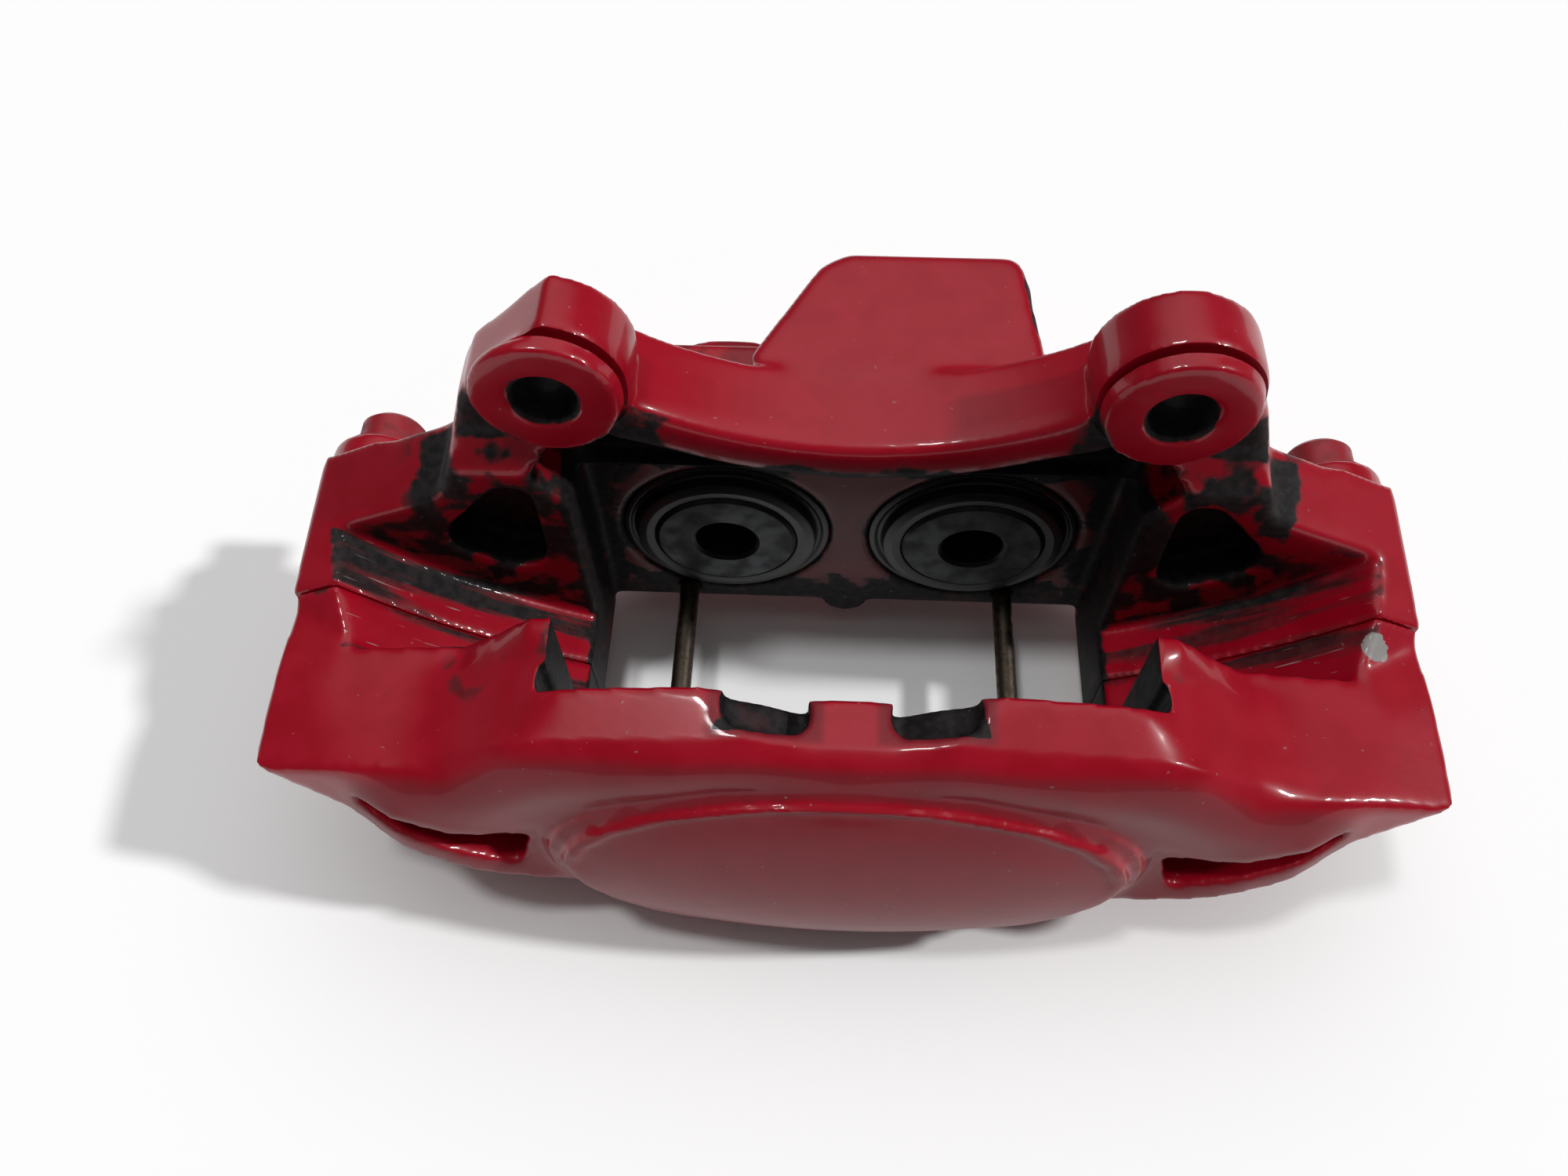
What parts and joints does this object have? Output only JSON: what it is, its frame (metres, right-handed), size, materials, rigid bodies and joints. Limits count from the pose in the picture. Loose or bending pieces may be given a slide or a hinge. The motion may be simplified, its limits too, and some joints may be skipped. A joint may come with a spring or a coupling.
{
  "type": "brake caliper",
  "caption": "Fixed opposed-piston disc brake caliper in red paint, with bolted halves, dust boots, pad pins, mounting ears, a hose port and a bleed screw.",
  "frame": {"origin": "midway between the mounting hole centres, on the plane of the ear faces", "axes": "+X along the row of pistons to the hose port's side, +Y inboard, away from the disc, +Z towards the wheel axis"},
  "size_m": [0.251, 0.148, 0.1273],
  "materials": {
    "red_paint": "gloss red paint on cast aluminium, chipped and grimy in the slot",
    "piston_steel": "dull dark plated steel",
    "pin_steel": "brownish bare steel",
    "bolt_paint": "red paint, dusty",
    "zinc_steel": "dull zinc plate",
    "rubber": "matt black rubber"
  },
  "bodies": {
    "caliper": {"inboard_half": "red_paint", "outboard_half": "red_paint", "seal_in_left": "rubber", "seal_in_right": "rubber", "seal_out_left": "rubber", "seal_out_right": "rubber", "boot_in_left": "rubber", "boot_in_right": "rubber", "boot_out_left": "rubber", "boot_out_right": "rubber", "bridge_bolts": "bolt_paint", "crossover_seals": "rubber"},
    "piston_in_left": {"piston_in_left": "piston_steel"},
    "piston_in_right": {"piston_in_right": "piston_steel"},
    "piston_out_left": {"piston_out_left": "piston_steel"},
    "piston_out_right": {"piston_out_right": "piston_steel"},
    "pad_pin_left": {"pad_pin_left": "pin_steel", "pin_sleeve_left": "pin_steel"},
    "pad_pin_right": {"pad_pin_right": "pin_steel", "pin_sleeve_right": "pin_steel"},
    "bleed": {"bleed_screw": "zinc_steel", "bleed_cap": "rubber"}
  },
  "joints": [
    {"name": "piston_in_left_slide", "type": "slide", "parent": "caliper", "child": "piston_in_left", "axis": [0, -1, 0], "range_m": [-0.0018, 0.007], "deforming": ["boot_in_left"]},
    {"name": "piston_in_right_slide", "type": "slide", "parent": "caliper", "child": "piston_in_right", "axis": [0, -1, 0], "range_m": [-0.0018, 0.007], "deforming": ["boot_in_right"]},
    {"name": "piston_out_left_slide", "type": "slide", "parent": "caliper", "child": "piston_out_left", "axis": [0, 1, 0], "range_m": [-0.0018, 0.007], "deforming": ["boot_out_left"]},
    {"name": "piston_out_right_slide", "type": "slide", "parent": "caliper", "child": "piston_out_right", "axis": [0, 1, 0], "range_m": [-0.0018, 0.007], "deforming": ["boot_out_right"]},
    {"name": "pad_pin_left_draw", "type": "slide", "parent": "caliper", "child": "pad_pin_left", "axis": [0, 1, 0], "range_m": [0, 0.095]},
    {"name": "pad_pin_right_draw", "type": "slide", "parent": "caliper", "child": "pad_pin_right", "axis": [0, 1, 0], "range_m": [0, 0.095]},
    {"name": "bleed_turn", "type": "hinge", "parent": "caliper", "child": "bleed", "pos_m": [-0.0417, 0.0455, -0.074], "axis": [0, -1, 0], "range_deg": [0, 180]}
  ]
}
